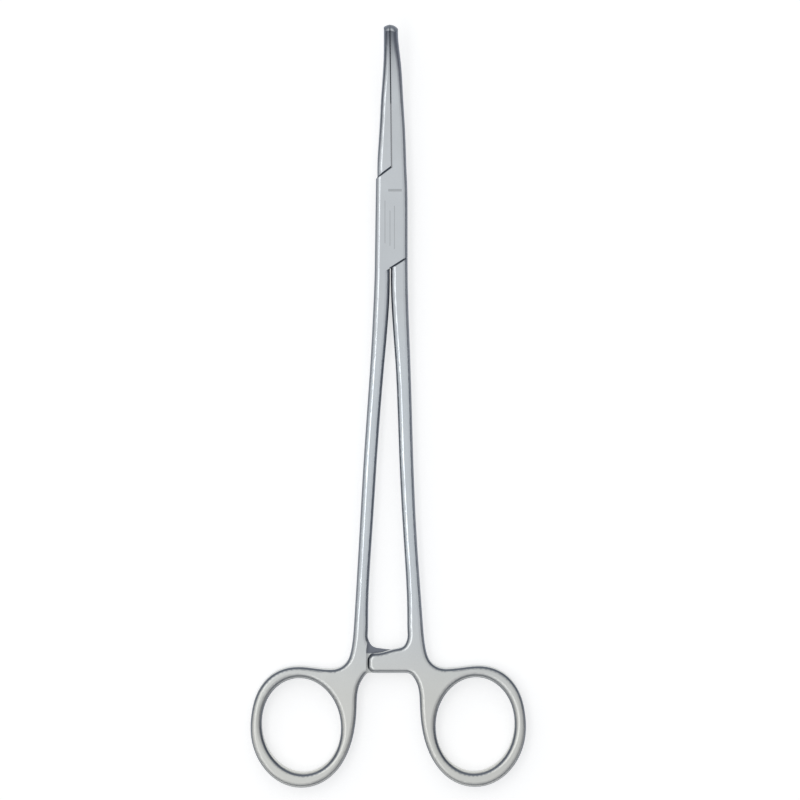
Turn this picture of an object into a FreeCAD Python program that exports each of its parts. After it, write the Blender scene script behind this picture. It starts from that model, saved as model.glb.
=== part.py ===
import FreeCAD, Part
import math
import os

os.makedirs("parts", exist_ok=True)
Vec = FreeCAD.Vector

# Tonsil forceps with a box lock, lying closed on its back face.
# Origin on the pivot axis at the back face, +Y to the jaw tips, +Z up through the thickness.
# Sizes are in millimetres and angles in degrees. Distances "out" are measured from the
# pivot axis towards the side on which a piece lies.

# Box lock
box_thickness = 5.0
box_half_width = 3.96
box_flare = 0.32
shoulder_apex_y = 12.6
shoulder_side_y = 9.75
shoulder_gap = 0.14
tenon_thickness = 1.7
tenon_face_clearance = 0.06
tenon_side_inset = 0.3
slot_stop_y = 2.3
slot_end_clearance = 0.12

# Pivot pin, a rivet with its countersunk ends ground flush
pin_diameter = 3.0
pin_running_clearance = 0.03
pin_head_diameter = 3.8
pin_head_depth = 0.4

# Jaws
jaw_reach = 47.8
jaw_gap = 0.06
split_at_pivot = 0.09
split_lean = 0.0116
jaw_curve_start = 20.0
jaw_curve_radius = 50.0
jaw_tip_thickness = 3.0
jaw_tip_radius = 2.4
right_jaw_out = (3.66, 3.35, 2.83, 2.23, 1.58)
left_jaw_out = (3.63, 3.19, 2.72, 2.09, 2.0)
serration_start = 28.5
serration_pitch = 0.9
serration_depth = 0.28
serration_land = 0.1

# Shanks, each with its distances out at five even stations from the top to the end
shank_thickness = 3.5
shank_top_y = -16.0
shank_end_y = -101.5
left_shank_outer = (4.37, 5.45, 6.94, 8.18, 9.45)
left_shank_inner = (0.5, 1.94, 3.6, 4.98, 5.92)
right_shank_outer = (4.0, 4.7, 5.33, 6.26, 7.78)
right_shank_inner = (-0.24, 0.96, 1.8, 2.92, 3.85)

# Finger rings
ring_thickness = 5.0
left_ring_y = -126.8
right_ring_y = -126.6
left_ring_out = 22.6
right_ring_out = 20.83
left_ring_tilt = 8.2
right_ring_tilt = 4.5
hole_half_width = 9.85
hole_half_height = 11.8
hole_round = 1.35
ring_side_band = 2.9
ring_end_band = 3.45
ring_end_drop = 0.35
ring_bulge = 0.62
ring_bulge_angle = 48.0
ring_bulge_spread = 40.0

# Ratchet arms
arm_bottom_y = -113.75
front_arm_top_y = -108.7
front_arm_reach = 6.05
rear_arm_top_y = -107.95
rear_arm_reach = 1.9
arm_corner = 1.9
arm_face_gap = 0.1
arm_end_gap = 0.35
web_thickness = 4.4
tooth_count = 3
tooth_pitch = 1.7
tooth_height = 0.75
tooth_start_x = -4.2
tooth_end_cover = 0.4

# Rounding of the long forged edges, no more than the jaw tips can carry, and the small
# bevel along the edges of the joints
edge_round = 1.22
joint_bevel = 0.2

middle_z = box_thickness / 2
shank_mid_y = (shank_top_y + shank_end_y) / 2
long_round = min(edge_round, 0.42 * jaw_tip_thickness)
plate_inner_z = middle_z - tenon_thickness / 2 - tenon_face_clearance


def split_x(y):
    """Place across of the line where the closed jaws meet."""
    return split_at_pivot - split_lean * y


def line(a, b):
    return Part.makeLine(Vec(*a, 0), Vec(*b, 0))


def spline(points, start, end, breaks=()):
    """Smooth plan curve through points, with its direction at both ends, as one edge or several.

    It is broken at the points whose numbers are given."""
    curve = Part.BSplineCurve()
    places = [Vec(x, y, 0) for x, y in points]
    curve.interpolate(Points=places, InitialTangent=Vec(*start, 0), FinalTangent=Vec(*end, 0))
    knots = curve.getKnots()
    cuts = [knots[0]] + [knots[number] for number in breaks] + [knots[-1]]
    return [curve.toShape(low, high) for low, high in zip(cuts, cuts[1:])]


def arc(a, middle, b):
    return Part.Arc(Vec(*a, 0), Vec(*middle, 0), Vec(*b, 0)).toShape()


def prism(edges, low, high):
    """Solid on a closed plan outline, between two heights."""
    wire = Part.Wire(Part.__sortEdges__(edges))
    face = Part.Face(wire)
    face.translate(Vec(0, 0, low))
    return face.extrude(Vec(0, 0, high - low))


def polygon(points, low, high):
    closed = list(points) + [points[0]]
    return prism([line(a, b) for a, b in zip(closed, closed[1:])], low, high)


def crossing(a, b, c, d):
    """Plan point where the line through a and b meets the line through c and d."""
    abx, aby = b[0] - a[0], b[1] - a[1]
    cdx, cdy = d[0] - c[0], d[1] - c[1]
    share = ((c[0] - a[0]) * cdy - (c[1] - a[1]) * cdx) / (abx * cdy - aby * cdx)
    return (a[0] + share * abx, a[1] + share * aby)


def shifted(a, b, distance):
    """The line from a to b, moved to its left by a distance."""
    length = math.hypot(b[0] - a[0], b[1] - a[1])
    dx, dy = -(b[1] - a[1]) / length * distance, (b[0] - a[0]) / length * distance
    return (a[0] + dx, a[1] + dy), (b[0] + dx, b[1] + dy)


# Side profile

def jaw_frame(along):
    """Height, lift and slope of the jaws' middle line at a distance along from the pivot."""
    if along <= jaw_curve_start:
        return along, middle_z, 0.0
    slope = (along - jaw_curve_start) / jaw_curve_radius
    y = jaw_curve_start + jaw_curve_radius * math.sin(slope)
    z = middle_z + jaw_curve_radius * (1 - math.cos(slope))
    return y, z, slope


tip_slope = math.asin((jaw_reach - jaw_curve_start) / jaw_curve_radius)
tip_along = jaw_curve_start + jaw_curve_radius * tip_slope


def jaw_side(sign):
    """Points of the jaws' front (sign 1) or back (sign -1) line, run out past the tip."""
    points = []
    for share in (0.0, 0.12, 0.3, 0.5, 0.7, 0.88, 1.1):
        along = shoulder_apex_y + share * (tip_along - shoulder_apex_y)
        y, z, slope = jaw_frame(along)
        half = box_thickness / 2 + share * (jaw_tip_thickness - box_thickness) / 2
        points.append((y - sign * half * math.sin(slope), z + sign * half * math.cos(slope)))
    return points


def side_curve(points, start, end):
    curve = Part.BSplineCurve()
    places = [Vec(0, y, z) for y, z in points]
    curve.interpolate(Points=places, InitialTangent=Vec(0, *start), FinalTangent=Vec(0, *end))
    return curve.toShape()


def side_line(a, b):
    return Part.makeLine(Vec(0, *a), Vec(0, *b))


def side_slab():
    """Wide slab between the front and the back of the instrument, seen from the side."""
    lowest_ring_y = min(left_ring_y, right_ring_y)
    ring_low_y = lowest_ring_y - hole_half_height - ring_end_band - ring_end_drop - 5
    ring_top_y = lowest_ring_y + 0.7 * hole_half_height
    edges = []
    for sign in (1, -1):
        handle = [
            (ring_top_y, middle_z + sign * ring_thickness / 2),
            (arm_bottom_y + 2, middle_z + sign * web_thickness / 2),
            (shank_end_y + 3, middle_z + sign * (shank_thickness / 2 + 0.05)),
            (shank_mid_y, middle_z + sign * shank_thickness / 2),
            (2 * shank_top_y, middle_z + sign * (shank_thickness / 2 + 0.1)),
            (shank_top_y, middle_z + sign * box_thickness / 2),
        ]
        jaw = jaw_side(sign)
        end_direction = (math.cos(tip_slope * 1.1), math.sin(tip_slope * 1.1))
        edges.append(side_line((ring_low_y, handle[0][1]), handle[0]))
        edges.append(side_curve(handle, (1, 0), (1, 0)))
        edges.append(side_line(handle[-1], jaw[0]))
        edges.append(side_curve(jaw, (1, 0), end_direction))
        edges.append(side_line((ring_low_y, middle_z), (ring_low_y, handle[0][1])))
        edges.append(side_line(jaw[-1], jaw_frame(shoulder_apex_y + 1.1 * (tip_along - shoulder_apex_y))[:2]))
    wire = Part.Wire(Part.__sortEdges__(edges))
    half_width = left_ring_out + right_ring_out
    face = Part.Face(wire)
    face.translate(Vec(-half_width, 0, 0))
    return face.extrude(Vec(2 * half_width, 0, 0))


slab = side_slab()


def gate(along):
    """All the room beyond a cross-section of the jaws."""
    y, z, slope = jaw_frame(along)
    ahead = Vec(0, math.cos(slope), math.sin(slope))
    up = Vec(0, -math.sin(slope), math.cos(slope))
    across = Vec(jaw_reach, 0, 0)
    corner = Vec(0, y, z) - across / 2 - up * (jaw_reach / 2)
    corners = [corner, corner + across, corner + across + up * jaw_reach, corner + up * jaw_reach]
    return Part.Face(Part.makePolygon(corners + [corner])).extrude(ahead * jaw_reach)


def round_tip():
    """Tool that leaves both jaws with one ball-shaped end."""
    centre_y = jaw_reach - jaw_tip_radius
    along = jaw_curve_start + jaw_curve_radius * math.asin((centre_y - jaw_curve_start) / jaw_curve_radius)
    y, z, slope = jaw_frame(along)
    return gate(along).cut(Part.makeSphere(jaw_tip_radius, Vec(split_x(y), y, z)))


def forged(outline, rounded, bevelled=(), holes=()):
    """Bar with a plan outline and the side profile, its long edges rounded.

    The edges of a jaw's biting face may be bevelled. Each side of the middle of the shank is rounded by itself, and the two meet there."""
    lowest = middle_z - box_thickness * 2
    highest = middle_z + jaw_reach
    bar = prism(outline, lowest, highest).common(slab)
    for hole in holes:
        bar = bar.cut(prism([hole], lowest, highest))
    room = 4 * max(left_ring_out, right_ring_out)
    lower_end = Part.makeBox(room, 3 * room, room, Vec(-room / 2, shank_mid_y - 3 * room, -room / 2))
    lengths = []
    for length in (bar.cut(lower_end), bar.common(lower_end)):
        for solid in length.Solids:
            hole_edges = [edge for edge in solid.Edges if lies_on(edge, holes)]
            if hole_edges:
                solid = solid.makeFillet(hole_round, hole_edges)
            long_edges = [edge for edge in solid.Edges if lies_on(edge, rounded)]
            solid = solid.makeFillet(long_round, long_edges)
            face_edges = [edge for edge in solid.Edges if lies_on(edge, bevelled)]
            if face_edges:
                solid = solid.makeChamfer(joint_bevel, face_edges)
            lengths.append(solid)
    if len(lengths) == 1:
        return lengths[0]
    return lengths[0].fuse(lengths[1:]).removeSplitter()


def carved(body, tools):
    """Cut the tools out of a body, one after the other."""
    for tool in tools:
        body = body.cut(tool)
    return body


def lies_on(edge, plan_edges):
    """Whether an edge of a solid runs along one of the plan curves, seen from the front."""
    box = edge.BoundBox
    if max(box.XLength, box.YLength) < 0.02:
        return False
    middle = edge.valueAt((edge.FirstParameter + edge.LastParameter) / 2)
    spot = Part.Vertex(middle.x, middle.y, 0)
    return any(curve.distToShape(spot)[0] < 0.002 for curve in plan_edges)


def joint_bevels(a, b):
    """Tools that bevel the front and the back edge of a straight joint of the box lock."""
    along = Vec(b[0] - a[0], b[1] - a[1], 0)
    across = Vec(-along.y, along.x, 0).normalize() * joint_bevel
    up = Vec(0, 0, joint_bevel)
    tools = []
    for height in (0, box_thickness):
        centre = Vec(*a, height)
        corners = [centre - across, centre + up, centre + across, centre - up]
        tools.append(Part.Face(Part.makePolygon(corners + [corners[0]])).extrude(along))
    return tools


# Outlines, seen from the front. side is 1 for the right of the picture and -1 for the left.

def mating_x(side, y):
    """Place of a jaw's biting face, at the crests of its serrations."""
    return split_x(y) + side * (jaw_gap - serration_depth) / 2


def jaw_outline(side, distances, root):
    """End, outer edge and biting face corner of a jaw that still runs on past its tip."""
    end_y = jaw_reach + jaw_tip_radius / 2
    stations = [(side * distances[-1], end_y)]
    for share, distance in reversed(list(zip((0.0, 0.25, 0.5, 0.75, 0.92), distances))):
        stations.append((side * distance, shoulder_apex_y + share * (jaw_reach - shoulder_apex_y)))
    stations.append(root)
    inner_end = (mating_x(side, end_y), end_y)
    return inner_end, line(inner_end, stations[0]), spline(stations, (0, -1), (0, -1), (3,))


def ring_centre(side):
    if side < 0:
        return -left_ring_out, left_ring_y
    return right_ring_out, right_ring_y


def hole_outline(side, tilt):
    """Finger hole, an oval whose long axis leans out at the top."""
    lean = math.radians(tilt)
    x, ring_y = ring_centre(side)
    top = Vec(x + side * hole_half_height * math.sin(lean), ring_y + hole_half_height * math.cos(lean), 0)
    flank = Vec(x + side * hole_half_width * math.cos(lean), ring_y - hole_half_width * math.sin(lean), 0)
    return Part.Ellipse(top, flank, Vec(x, ring_y, 0)).toShape()


def handle_outline(side, start, start_direction, outer, inner, arm_reach, arm_top_y, inner_start):
    """Shank, ring and ratchet arm of one half, from the outer edge round to the inner edge."""
    ring_x, ring_y = ring_centre(side)
    ring_out = side * ring_x
    half_width = hole_half_width + ring_side_band
    half_height = hole_half_height + ring_end_band
    centre_y = ring_y - ring_end_drop
    ring_top_y = centre_y + half_height
    arm_end = -arm_reach
    inner_end = inner[-1]
    heights = [shank_top_y + share * (shank_end_y - shank_top_y) for share in (0, 0.25, 0.5, 0.75, 1)]
    around = [start]
    around += list(zip(outer, heights))
    for out, up in ((0.7, 4.0), (1.9, 0.95), (4.2, -0.57), (6.6, -0.77)):
        around.append((outer[-1] + out, ring_top_y + up))
    for step in range(11):
        angle = 80 - 22.75 * step
        from_bulge = min(1, abs(angle - ring_bulge_angle) / ring_bulge_spread)
        fuller = ring_bulge * math.cos(from_bulge * math.pi / 2) ** 2
        across = (half_width + fuller) * math.cos(math.radians(angle))
        up = (half_height + fuller) * math.sin(math.radians(angle))
        around.append((ring_out + across, centre_y + up))
    for out, up in ((0.35, -1.9), (1.05, 4.5), (1.75, 10.1), (2.65, 11.8)):
        around.append((ring_out - half_width - out, ring_y + up))
    heel = (ring_out - half_width - 4.6, arm_bottom_y)
    around.append(heel)
    arm_low = (arm_end + arm_corner, arm_bottom_y)
    arm_high = (arm_end + arm_corner, arm_top_y)
    end_low = (arm_end, arm_bottom_y + arm_corner)
    end_high = (arm_end, arm_top_y - arm_corner)
    bow = arm_corner * (1 - math.sqrt(0.5))
    low_middle = (arm_end + bow, arm_bottom_y + bow)
    high_middle = (arm_end + bow, arm_top_y - bow)
    throat_y = rear_arm_top_y
    top = [
        arm_high,
        (inner_end - 3.0, throat_y + 0.3),
        (inner_end - 0.95, throat_y + 0.95),
        (inner_end - 0.15, throat_y + 2.2),
        (inner_end, shank_end_y),
    ]
    shank_inner = list(reversed(list(zip(inner, heights)))) + [inner_start]
    pieces = [
        (around, start_direction, (-1, 0), (2, 5, 9, 12, 15, 18, 20)),
        ([heel, arm_low], (-1, 0), (-1, 0), ()),
        (top, (1, 0), (0.01, 1), ()),
        (shank_inner, (0.01, 1), (0, 1), (1, 3)),
    ]
    edges = []
    for points, first, last, breaks in pieces:
        mirrored = [(side * out, y) for out, y in points]
        first_direction, last_direction = (side * first[0], first[1]), (side * last[0], last[1])
        edges += spline(mirrored, first_direction, last_direction, breaks)

    def flip(place):
        return side * place[0], place[1]

    edges.append(arc(flip(arm_low), flip(low_middle), flip(end_low)))
    edges.append(line(flip(end_low), flip(end_high)))
    edges.append(arc(flip(end_high), flip(high_middle), flip(arm_high)))
    return edges


def serrations(side):
    """Tools that leave the cross serrations standing on a jaw's biting face."""
    reach_out = tip_along + jaw_tip_thickness
    half_depth = serration_depth / 2
    crest = side * (jaw_gap / 2 - half_depth)
    valley = side * (jaw_gap / 2 + half_depth)
    plain = side * jaw_gap / 2
    first = serration_start + (serration_pitch if side > 0 else serration_pitch / 2)
    tall = box_thickness
    tools = []
    count = int((reach_out - first) / serration_pitch) + 1
    for number in range(count):
        along = first + number * serration_pitch
        y, z, slope = jaw_frame(along)
        ahead = Vec(0, math.cos(slope), math.sin(slope))
        up = Vec(0, -math.sin(slope), math.cos(slope))
        centre = Vec(split_x(y), y, z) - up * tall
        half_mouth = (serration_pitch - serration_land) / 2
        half_floor = serration_land / 2
        outside = crest - side * serration_depth
        section = (
            (-half_mouth, outside), (-half_mouth, crest), (-half_floor, valley),
            (half_floor, valley), (half_mouth, crest), (half_mouth, outside),
        )
        corners = [centre + ahead * along_jaw + Vec(across, 0, 0) for along_jaw, across in section]
        face = Part.Face(Part.makePolygon(corners + [corners[0]]))
        tools.append(face.extrude(up * (2 * tall)))
    relief_end = serration_start - serration_land / 2
    relief_end += serration_pitch / 2 if side > 0 else serration_pitch
    ends = (shoulder_apex_y, jaw_reach)
    band = [(split_x(y) + plain, y) for y in ends]
    band += [(x - side * serration_depth * 2, y) for x, y in reversed(band)]
    tools.append(polygon(band, -box_thickness, jaw_reach).cut(gate(relief_end)))
    return tools


def ratchet_teeth(low_arm):
    """Teeth cut into the inner face of a ratchet arm: steep towards its own shank."""
    steep = -1 if low_arm else 1
    face_z = middle_z - arm_face_gap / 2 if low_arm else middle_z + arm_face_gap / 2
    root_z = face_z - tooth_height if low_arm else face_z + tooth_height
    outside_z = face_z + tooth_height if low_arm else face_z - tooth_height
    tools = []
    for number in range(tooth_count):
        left = tooth_start_x + number * tooth_pitch
        right = left + tooth_pitch
        root_x, crest_x = (left, right) if steep < 0 else (right, left)
        points = [(root_x, root_z), (crest_x, face_z), (crest_x, outside_z), (root_x, outside_z)]
        places = [Vec(x, arm_bottom_y - arm_corner, z) for x, z in points]
        face = Part.Face(Part.makePolygon(places + [places[0]]))
        tools.append(face.extrude(Vec(0, front_arm_top_y - tooth_end_cover - arm_bottom_y + arm_corner, 0)))
    return tools


# Corners of the box lock, seen from the front

apex_top = (mating_x(1, shoulder_apex_y), shoulder_apex_y)
side_top = (-box_half_width, shoulder_side_y)
apex_low = (-left_shank_inner[0], -shoulder_apex_y)
side_low = (box_half_width, -shoulder_side_y)
stop_right = (box_half_width, slot_stop_y)
stop_left = (-box_half_width - box_flare, -slot_stop_y)


def pin_shape(radius):
    """Pin from face to face, with a countersunk head at each end."""
    head_radius = radius + (pin_head_diameter - pin_diameter) / 2
    shaft = Part.makeCylinder(radius, box_thickness)
    low_head = Part.makeCone(head_radius, radius, pin_head_depth)
    high_place = Vec(0, 0, box_thickness - pin_head_depth)
    high_head = Part.makeCone(radius, head_radius, pin_head_depth, high_place)
    return shaft.fuse([low_head, high_head]).removeSplitter()


def box_half():
    """Right jaw, both box plates, left shank and ring, and the rear ratchet arm, one forging."""
    root = (box_half_width, 0)
    inner_end, jaw_end, jaw_outer = jaw_outline(1, right_jaw_out, root)
    low_left = (-box_half_width - box_flare, -shoulder_apex_y)
    flare = (box_flare / (shoulder_apex_y + shoulder_side_y), -1)
    handle = handle_outline(
        -1, (-low_left[0], low_left[1]), flare, left_shank_outer, left_shank_inner,
        rear_arm_reach, rear_arm_top_y, (-apex_low[0], apex_low[1]),
    )
    right_side = line(root, side_low)
    left_side = line(side_top, low_left)
    rounded = jaw_outer + [right_side, left_side] + handle
    biting = line(apex_top, inner_end)
    sharp = [biting, jaw_end, line(side_low, apex_low), line(side_top, apex_top)]
    hole = hole_outline(-1, left_ring_tilt)
    body = forged(rounded + sharp, rounded, [biting], [hole])

    slot = polygon(
        [apex_top, stop_right, (2 * box_half_width, slot_stop_y), (2 * box_half_width, -shoulder_apex_y),
         apex_low, stop_left, (-2 * box_half_width, -slot_stop_y), (-2 * box_half_width, shoulder_apex_y)],
        plate_inner_z, box_thickness - plate_inner_z,
    )
    step_x = -front_arm_reach - arm_end_gap
    front_room = polygon(
        [(-left_shank_inner[-1], shank_end_y - 3), (step_x, rear_arm_top_y), (step_x, arm_bottom_y - 2),
         (rear_arm_reach + 1, arm_bottom_y - 2), (rear_arm_reach + 1, shank_end_y - 3)],
        middle_z - arm_face_gap / 2, box_thickness * 2,
    )
    tools = [slot, front_room, pin_shape(pin_diameter / 2)]
    tools += joint_bevels(side_top, apex_top) + joint_bevels(side_low, apex_low)
    return carved(body, tools + ratchet_teeth(True) + serrations(1) + [round_tip()])


def tenon_half():
    """Left jaw, the thin tenon in the slot, right shank and ring, and the front ratchet arm."""
    jaw_low, jaw_high = shifted(side_top, apex_top, shoulder_gap)
    shank_low, shank_high = shifted(side_low, apex_low, shoulder_gap)

    root_line = ((-left_jaw_out[0], 0), (-left_jaw_out[0], shoulder_apex_y))
    root = crossing(jaw_low, jaw_high, *root_line)
    face_line = ((mating_x(-1, 0), 0), (mating_x(-1, shoulder_apex_y), shoulder_apex_y))
    jaw_apex = crossing(jaw_low, jaw_high, *face_line)
    inner_end, jaw_end, jaw_outer = jaw_outline(-1, left_jaw_out, root)
    biting = line(jaw_apex, inner_end)
    jaw = forged(jaw_outer + [jaw_end, line(root, jaw_apex), biting], jaw_outer, [biting])

    inner_line = ((right_shank_inner[0], 0), (right_shank_inner[0], -shoulder_apex_y))
    shank_apex = crossing(shank_low, shank_high, *inner_line)
    outer_line = ((box_half_width, 0), (box_half_width, -shoulder_apex_y))
    shank_side = crossing(shank_low, shank_high, *outer_line)
    handle = handle_outline(
        1, shank_side, (0, -1), right_shank_outer, right_shank_inner,
        front_arm_reach, front_arm_top_y, shank_apex,
    )
    hole = hole_outline(1, right_ring_tilt)
    shank = forged(handle + [line(shank_side, shank_apex)], handle, (), [hole])

    side_x = box_half_width - tenon_side_inset
    right_wall = shifted(stop_right, apex_top, slot_end_clearance)
    left_wall = shifted(stop_left, apex_low, slot_end_clearance)
    left_side = ((-side_x, 0), (-side_x, 1))
    right_side = ((side_x, 0), (side_x, 1))
    tenon = polygon(
        [crossing(jaw_low, jaw_high, *left_side), crossing(jaw_low, jaw_high, *right_wall),
         crossing(*right_wall, *right_side), crossing(shank_low, shank_high, *right_side),
         crossing(shank_low, shank_high, *left_wall), crossing(*left_wall, *left_side)],
        middle_z - tenon_thickness / 2, middle_z + tenon_thickness / 2,
    )
    body = jaw.fuse([tenon, shank]).removeSplitter()

    step_x = rear_arm_reach + arm_end_gap
    rear_room = polygon(
        [(step_x, shank_end_y), (step_x, arm_bottom_y - 2), (-front_arm_reach - 1, arm_bottom_y - 2),
         (-front_arm_reach - 1, shank_end_y)],
        -box_thickness, middle_z + arm_face_gap / 2,
    )
    bore = Part.makeCylinder(pin_diameter / 2 + pin_running_clearance, box_thickness)
    tools = [rear_room, bore] + joint_bevels(root, jaw_apex) + joint_bevels(shank_side, shank_apex)
    tools += ratchet_teeth(False) + serrations(-1) + [round_tip()]
    return carved(body, tools)


def export(name, shape):
    """Write the one solid of a piece."""
    shape.Solids[0].exportStep("parts/" + name + ".step")


export("box_half", box_half())
export("tenon_half", tenon_half())
export("pivot_pin", pin_shape(pin_diameter / 2))
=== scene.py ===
import bpy
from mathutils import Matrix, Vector

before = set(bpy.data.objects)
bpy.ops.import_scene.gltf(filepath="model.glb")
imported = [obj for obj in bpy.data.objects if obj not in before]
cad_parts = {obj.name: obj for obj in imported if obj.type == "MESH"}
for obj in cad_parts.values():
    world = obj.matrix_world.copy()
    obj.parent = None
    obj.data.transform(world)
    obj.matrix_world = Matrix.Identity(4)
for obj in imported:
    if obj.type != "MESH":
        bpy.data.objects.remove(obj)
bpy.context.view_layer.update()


# The box half: right jaw, both plates of the box, left shank and left finger ring.
# It is one stainless forging with rounded long edges and finely satined faces. Its material paints the
# rounded edges, the jaw tips and the recess above the ratchet darker and bluer than the faces: painted
# shade and painted dark reflections.

STEEL = (0.655, 0.685, 0.710, 1)
SHANK_STEEL = (0.690, 0.732, 0.770, 1)
RING_STEEL = (0.690, 0.693, 0.662, 1)
# Painted shade in the recess above the ratchet.
PAINTED_RECESS_SHADE = (0.200, 0.215, 0.250, 1)
# Painted shade and painted dark reflection, laid on the rounded edges and along the joints.
PAINTED_SHADE_STEEL = (0.170, 0.188, 0.220, 1)
# Painted dark reflection on the faces of the jaw tips.
PAINTED_TIP_SHADE = (0.200, 0.220, 0.290, 1)

# Where each of those lies, in metres: from low to high with its softness, or from where
# it starts to where it is full. Below counts from the pivot towards the rings.
RECESS_ACROSS = (-0.0066, 0.0024, 0.0001)
RECESS_BELOW = (0.1042, 0.1089, 0.0002)
RECESS_OUT = (0.0018, 0.0030, 0.0002)
SHANKS_BELOW = (0.030, 0.095, 0.012)
RINGS_BELOW = (0.095, 0.125)
JAWS_ABOVE = (0.010, 0.026)
TIPS_ABOVE = (0.024, 0.046)

# How squarely a surface faces the front or back: 1 on the faces, 0 on the flanks. The painted shade of
# the edges and the tips lies between these values.
EDGE_FACING = (0.19, 0.74, 0.16)
TIP_FACING = (0.25, 0.77, 0.15)
JOINT_FACING = (0.30, 0.60)

# How much wider the painted shade band is on what faces the tips on the rings, faces the rings, or
# faces left on the jaws, following how the light falls there.
RING_BAND = 0.80
LOWER_BAND = 0.25
JAW_BAND = 0.30

# The joints of the box lock, hairline gaps that read as dark lines; the material paints shade along
# them on the faces. Each is a line lean_x * x + lean_y * y = distance, in metres. The split between
# the jaws starts above the box, and the two shoulders lie between two places across.
JOINT_HALF = 0.00016
JOINT_SOFT = 0.00007
SPLIT = (1.0, 0.0116, 0.00009)
SPLIT_ABOVE = (0.0124, 0.0125)
SHOULDERS = (
    ((-0.590, 0.807, 0.010275), (-0.00450, -0.00010, 0.00005)),
    ((-0.538, 0.843, -0.010420), (-0.00040, 0.00450, 0.00005)),
)

# A plain etched mark on the front plate: a short bar above three fine lines, in metres
# across and along from the pivot.
MARK_BAR = (-0.0009, 0.0025, 0.00655, 0.00720)
MARK_LINES = ((-0.00170, 0.0043, -0.0064), (-0.00045, 0.0018, -0.0070), (0.00065, 0.0030, -0.0078))
MARK_LINE_HALF = 0.00009
MARK_SOFT = 0.00004
FRONT_FACE = (0.00490, 0.00498)

GRAIN_SCALE = 3600.0
CLOUD_SCALE = 110.0
GRAIN_SHADE = 0.10
CLOUD_SHADE = 0.10
BASE_SHADE = 0.90
MARK_SHADE = 0.30
GRAIN_BUMP = 0.10
GRAIN_DEPTH = 0.00002

ROUGHNESS = 0.26
SHANK_SMOOTHER = 0.04
RING_ROUGHER = 0.12
CLOUD_ROUGHER = 0.06
MARK_ROUGHER = 0.15


class Value:
    """One output of a shader node, so that maths on it is written as maths."""

    def __init__(self, graph, output):
        self.graph = graph
        self.output = output

    def math(self, operation, *values):
        inputs = dict(enumerate((self,) + values))
        return self.graph.node("ShaderNodeMath", {"operation": operation}, inputs)

    def __add__(self, other):
        return self.math("ADD", other)

    def __sub__(self, other):
        return self.math("SUBTRACT", other)

    def __mul__(self, other):
        return self.math("MULTIPLY", other)

    def __rsub__(self, other):
        return self * -1 + other

    __radd__ = __add__
    __rmul__ = __mul__

    def step(self, low, high):
        """0 at the low value and 1 at the high one, with a soft rise between them."""
        settings = {"interpolation_type": "SMOOTHSTEP"}
        inputs = {"Value": self, "From Min": low, "From Max": high}
        return self.graph.node("ShaderNodeMapRange", settings, inputs)

    def within(self, low, high, soft):
        """1 between two values and 0 beyond them, with a soft edge at both."""
        return self.step(low - soft, low + soft) * (1 - self.step(high - soft, high + soft))

    def blend(self, first, second):
        """The first colour where this value is 0, the second where it is 1."""
        return self.graph.node("ShaderNodeMix", {"data_type": "RGBA"}, {0: self, 6: first, 7: second}, 2)


class Graph:
    """The nodes of one material or of the world."""

    def __init__(self, owner):
        owner.use_nodes = True
        self.owner = owner
        self.tree = owner.node_tree

    def node(self, kind, settings=None, inputs=None, out=0):
        node = self.tree.nodes.new(kind)
        for name, setting in (settings or {}).items():
            setattr(node, name, setting)
        self.feed(node, inputs or {})
        return Value(self, node.outputs[out])

    def feed(self, node, inputs):
        for name, value in inputs.items():
            if isinstance(value, Value):
                self.tree.links.new(value.output, node.inputs[name])
            else:
                node.inputs[name].default_value = value

    def axes(self, coordinate):
        """The x, y and z of one output of Texture Coordinate, as three values."""
        place = self.node("ShaderNodeTexCoord", out=coordinate)
        split = self.node("ShaderNodeSeparateXYZ", None, {0: place}).output.node
        return [Value(self, output) for output in split.outputs]


def joint_line(x, y, line):
    """1 along one joint of the box lock."""
    lean_x, lean_y, distance = line
    return (x * lean_x + y * lean_y).within(distance - JOINT_HALF, distance + JOINT_HALF, JOINT_SOFT)


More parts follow.
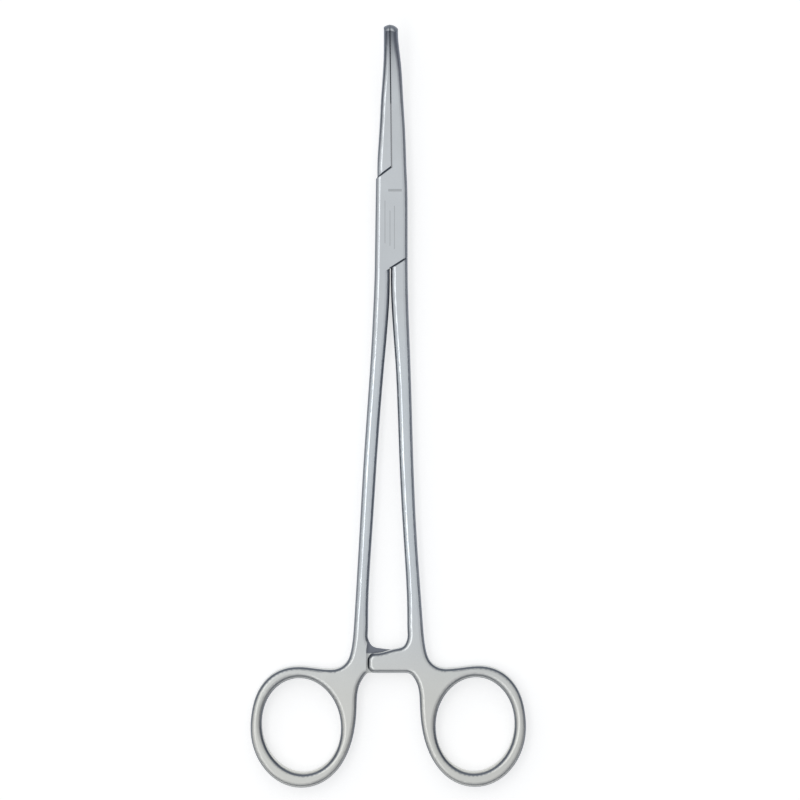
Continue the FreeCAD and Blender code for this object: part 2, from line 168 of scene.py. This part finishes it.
def satin_steel(name):
    """Satin stainless with a fine grain and soft clouding, and painted shade: dark bands on the rounded
    flanks, dark jaw tips, a dark recess and dark joint lines.
    """
    finish = Graph(bpy.data.materials.new(name))
    place = finish.node("ShaderNodeTexCoord", out="Object")
    x, y, z = finish.axes("Object")
    across, along, out = finish.axes("Normal")
    facing = out.math("ABSOLUTE")
    fine = {"Vector": place, "Scale": GRAIN_SCALE, "Detail": 2.0}
    broad = {"Vector": place, "Scale": CLOUD_SCALE, "Detail": 4.0}
    grain = finish.node("ShaderNodeTexNoise", None, fine)
    cloud = finish.node("ShaderNodeTexNoise", None, broad)
    below = y * -1
    rings = below.step(*RINGS_BELOW)
    jaws = y.step(*JAWS_ABOVE)
    slant = facing - rings * along.math("MAXIMUM", 0) * RING_BAND
    slant = slant - along.math("MINIMUM", 0) * LOWER_BAND
    slant = slant + jaws * across.math("MINIMUM", 0) * JAW_BAND
    # Painted shade and painted dark reflection: a dark band on the rounded edges, wider where the light
    # falls away.
    edge = slant.within(*EDGE_FACING)
    shanks = below.within(*SHANKS_BELOW)
    # Painted shade: the recess above the ratchet is darkened in colour.
    recess = x.within(*RECESS_ACROSS) * below.within(*RECESS_BELOW) * z.within(*RECESS_OUT)
    tint = shanks.blend(STEEL, SHANK_STEEL)
    tint = recess.blend(rings.blend(tint, RING_STEEL), PAINTED_RECESS_SHADE)
    # Painted dark reflection: the faces of the jaw tips are darkened and blued.
    tips = y.step(*TIPS_ABOVE) * facing.within(*TIP_FACING)
    tint = edge.blend(tips.blend(tint, PAINTED_TIP_SHADE), PAINTED_SHADE_STEEL)
    # Painted shade along the hairline joints of the box lock, on the faces only.
    outside = facing.step(*JOINT_FACING)
    tint = (joint_line(x, y, SPLIT) * y.step(*SPLIT_ABOVE) * outside).blend(tint, PAINTED_SHADE_STEEL)
    for line, reach in SHOULDERS:
        tint = (joint_line(x, y, line) * x.within(*reach) * outside).blend(tint, PAINTED_SHADE_STEEL)
    left, right, low, high = MARK_BAR
    mark = x.within(left, right, MARK_SOFT) * y.within(low, high, MARK_SOFT)
    for centre, top, bottom in MARK_LINES:
        line = x.within(centre - MARK_LINE_HALF, centre + MARK_LINE_HALF, MARK_SOFT)
        mark = mark + line * y.within(bottom, top, MARK_SOFT)
    mark = mark * z.step(*FRONT_FACE)
    mottle = grain * GRAIN_SHADE + cloud * CLOUD_SHADE + BASE_SHADE
    shade = mottle * (1 - mark * MARK_SHADE)
    colour = finish.node("ShaderNodeVectorMath", {"operation": "SCALE"}, {0: tint, "Scale": shade})
    relief = {"Height": grain, "Strength": GRAIN_BUMP, "Distance": GRAIN_DEPTH}
    bump = finish.node("ShaderNodeBump", None, relief)
    shader = finish.tree.nodes["Principled BSDF"]
    roughness = ROUGHNESS - shanks * SHANK_SMOOTHER + rings * RING_ROUGHER
    roughness = roughness + cloud * CLOUD_ROUGHER + mark * MARK_ROUGHER
    finish.feed(shader, {"Base Color": colour, "Metallic": 1.0, "Roughness": roughness, "Normal": bump})
    return finish.owner


box_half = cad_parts["box_half"]
box_half.data.materials.clear()
box_half.data.materials.append(satin_steel("satin_steel"))


# The tenon half: left jaw, the thin tenon inside the box, right shank and right ring.
# It is a stainless forging too, and has the same finish as the box half.

tenon_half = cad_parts["tenon_half"]
tenon_half.data.materials.clear()
tenon_half.data.materials.append(box_half.data.materials[0])


# The pivot pin: a stainless rivet through plates and tenon, its ends ground flush with
# the plates, so that only a hairline round each end shows.

pivot_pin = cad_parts["pivot_pin"]
pivot_pin.data.materials.clear()
pivot_pin.data.materials.append(box_half.data.materials[0])


# The floor: a plain white sheet, which stays white to the camera and in the steel, and
# still darkens where the forceps shade it.

FLOOR_HALF = 2.0
FLOOR_Z = -0.0002
FLOOR_GREY = (0.65, 0.65, 0.65, 1)
FLOOR_GLOW = 0.58

bpy.ops.object.select_all(action="DESELECT")
bpy.ops.mesh.primitive_plane_add(size=2 * FLOOR_HALF, location=(0, 0, FLOOR_Z))
floor = bpy.context.object
floor.name = "floor"
sheet = Graph(bpy.data.materials.new("white_sheet"))
path = sheet.node("ShaderNodeLightPath").output.node
rays = ("Is Camera Ray", "Is Glossy Ray", "Is Transmission Ray")
seen = [Value(sheet, path.outputs[ray]) for ray in rays]
glow = seen[0].math("MAXIMUM", seen[1]).math("MAXIMUM", seen[2]) * FLOOR_GLOW
sheet.feed(sheet.tree.nodes["Principled BSDF"], {
    "Base Color": FLOOR_GREY, "Roughness": 0.9, "Specular IOR Level": 0.0,
    "Emission Color": (1, 1, 1, 1), "Emission Strength": glow})
floor.data.materials.append(sheet.owner)


# The studio: a room that is light overhead and dark towards the horizon, a little
# lighter on the left, and one long soft box up on the left.

ZENITH = (0.70, 0.71, 0.72, 1)
HORIZON = (0.13, 0.14, 0.17, 1)
TIPWARD_LIFT = 0.30
RINGWARD_DROP = 0.15
LEFT_LIFT = 0.25
HORIZON_HEIGHT = 0.20
ZENITH_HEIGHT = 0.50

BOX_LONG = 1.1
BOX_SHORT = 0.26
BOX_POWER = 1.35
BOX_PLACE = (-0.37, -0.03, 1.0)
BOX_TARGET = (0, -0.03, 0)

world = bpy.data.worlds.new("studio")
bpy.context.scene.world = world
room = Graph(world)
across, along, up = room.axes("Generated")
near = along.math("MINIMUM", 0)
height = up + along * TIPWARD_LIFT + near * RINGWARD_DROP - across * LEFT_LIFT
sky = height.step(HORIZON_HEIGHT, ZENITH_HEIGHT).blend(HORIZON, ZENITH)
room.feed(room.tree.nodes["Background"], {"Color": sky})

box_light = bpy.data.lights.new("soft_box", "AREA")
box_light.shape = "RECTANGLE"
box_light.size = BOX_LONG
box_light.size_y = BOX_SHORT
box_light.energy = BOX_POWER
soft_box = bpy.data.objects.new("soft_box", box_light)
soft_box.location = BOX_PLACE
aim = Vector(BOX_TARGET) - soft_box.location
soft_box.rotation_euler = aim.to_track_quat("-Z", "Y").to_euler()
bpy.context.scene.collection.objects.link(soft_box)


# The camera looks straight down from about a metre, with the picture 200 mm wide.

CAMERA_LENS = 190.0
SENSOR = 36.0
VIEW_WIDTH = 0.2
VIEW_CENTRE = (0.00205, -0.0455, 0.0035)
FAR_LIMIT = 20

camera_data = bpy.data.cameras.new("camera")
camera_data.lens = CAMERA_LENS
camera_data.sensor_width = SENSOR
camera_data.clip_end = FAR_LIMIT
camera = bpy.data.objects.new("camera", camera_data)
camera.location = Vector(VIEW_CENTRE) + Vector((0, 0, VIEW_WIDTH * CAMERA_LENS / SENSOR))
bpy.context.scene.collection.objects.link(camera)
bpy.context.scene.camera = camera
bpy.context.scene.view_settings.view_transform = "Standard"
